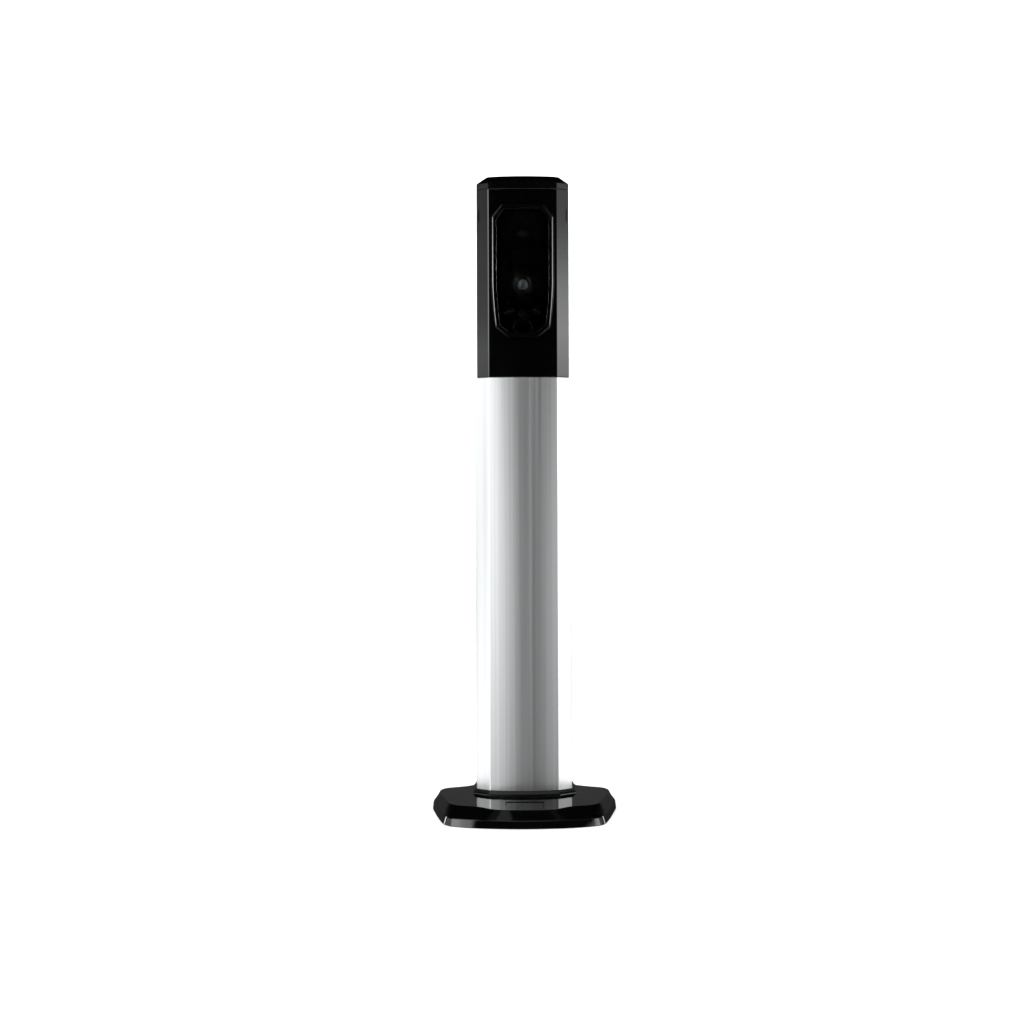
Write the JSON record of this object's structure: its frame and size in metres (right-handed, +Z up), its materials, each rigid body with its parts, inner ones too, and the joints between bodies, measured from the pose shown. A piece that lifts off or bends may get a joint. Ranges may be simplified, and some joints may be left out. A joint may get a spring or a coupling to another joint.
{
  "type": "light beam sensor post",
  "caption": "Floor-standing sensor post: faceted satin aluminium column on a low black base cover, with a black head, a smoked window and an aimable lens.",
  "frame": {"origin": "centre of the base footprint, on the floor", "axes": "+Z up, -Y the side the window faces, +X to the right seen from the front"},
  "size_m": [0.145, 0.1064, 0.5],
  "materials": {
    "gloss_black": "moulded, high gloss",
    "head_black": "moulded, high gloss",
    "cap_black": "moulded, high gloss",
    "rim_black": "moulded, high gloss",
    "smoked": "smoked, clear to the beam",
    "anodised": "extruded, satin natural anodised",
    "cast_alloy": "die cast, as cast",
    "collar_black": "smooth",
    "pad_rubber": "closed cell",
    "black_rubber": "smooth",
    "zinc_steel": "zinc plated",
    "black_screw": "black passivated",
    "badge_satin": "blank satin label plate",
    "inner_black": "fine moulded",
    "ring_black": "gloss",
    "barrel_grey": "fine moulded",
    "lens_clear": "clear moulded lens",
    "diode_dark": "dark epoxy",
    "lamp_dark": "dark tinted epoxy",
    "dial_black": "gloss",
    "part_blue": "moulded",
    "board_green": "solder mask",
    "part_black": "moulded",
    "terminal_green": "moulded"
  },
  "bodies": {
    "post": {"base_pad": "pad_rubber", "base_plate": "cast_alloy", "column_screws": "zinc_steel", "base_cable_grommet": "black_rubber", "column_profile": "anodised", "head_gasket": "black_rubber", "head_shell": "head_black", "head_screws": "zinc_steel", "head_cable_grommet": "black_rubber", "window_bezel": "rim_black", "sensor_chassis": "inner_black", "chassis_screw": "black_screw", "lens_ring": "ring_black", "status_lamps": "lamp_dark", "alignment_lamp": "lamp_dark", "potentiometer": "part_blue", "circuit_board": "board_green", "board_screws": "zinc_steel", "relay": "part_black", "capacitors": "part_black", "control_chip": "part_black", "terminal_block": "terminal_green", "terminal_screws": "zinc_steel"},
    "cover": {"base_cover": "gloss_black", "blank_badge": "badge_satin", "column_collar": "collar_black"},
    "cap": {"top_cap": "cap_black", "cap_gasket": "black_rubber"},
    "window": {"front_cover": "smoked", "window_seal": "black_rubber"},
    "yoke": {"pan_yoke": "inner_black"},
    "barrel": {"lens_barrel": "barrel_grey", "lens": "lens_clear", "beam_diode": "diode_dark"},
    "dial": {"range_dial": "dial_black"}
  },
  "joints": [
    {"name": "base_cover_lift", "type": "slide", "parent": "post", "child": "cover", "axis": [0, 0, 1], "range_m": [0, 0.08]},
    {"name": "cap_lift", "type": "slide", "parent": "post", "child": "cap", "axis": [0, 0, 1], "range_m": [0, 0.03]},
    {"name": "window_release", "type": "slide", "parent": "post", "child": "window", "axis": [0, -1, 0], "range_m": [0, 0.03]},
    {"name": "lens_pan", "type": "hinge", "parent": "post", "child": "yoke", "pos_m": [0, 0.01215, 0.4135], "axis": [0, 0, 1], "range_deg": [-12, 12]},
    {"name": "lens_tilt", "type": "hinge", "parent": "yoke", "child": "barrel", "pos_m": [0, 0.01215, 0.4135], "axis": [1, 0, 0], "range_deg": [-10, 10]},
    {"name": "range_dial_turn", "type": "hinge", "parent": "post", "child": "dial", "pos_m": [0, 0.00815, 0.3796], "axis": [0, -1, 0], "range_deg": [-135, 135]}
  ]
}
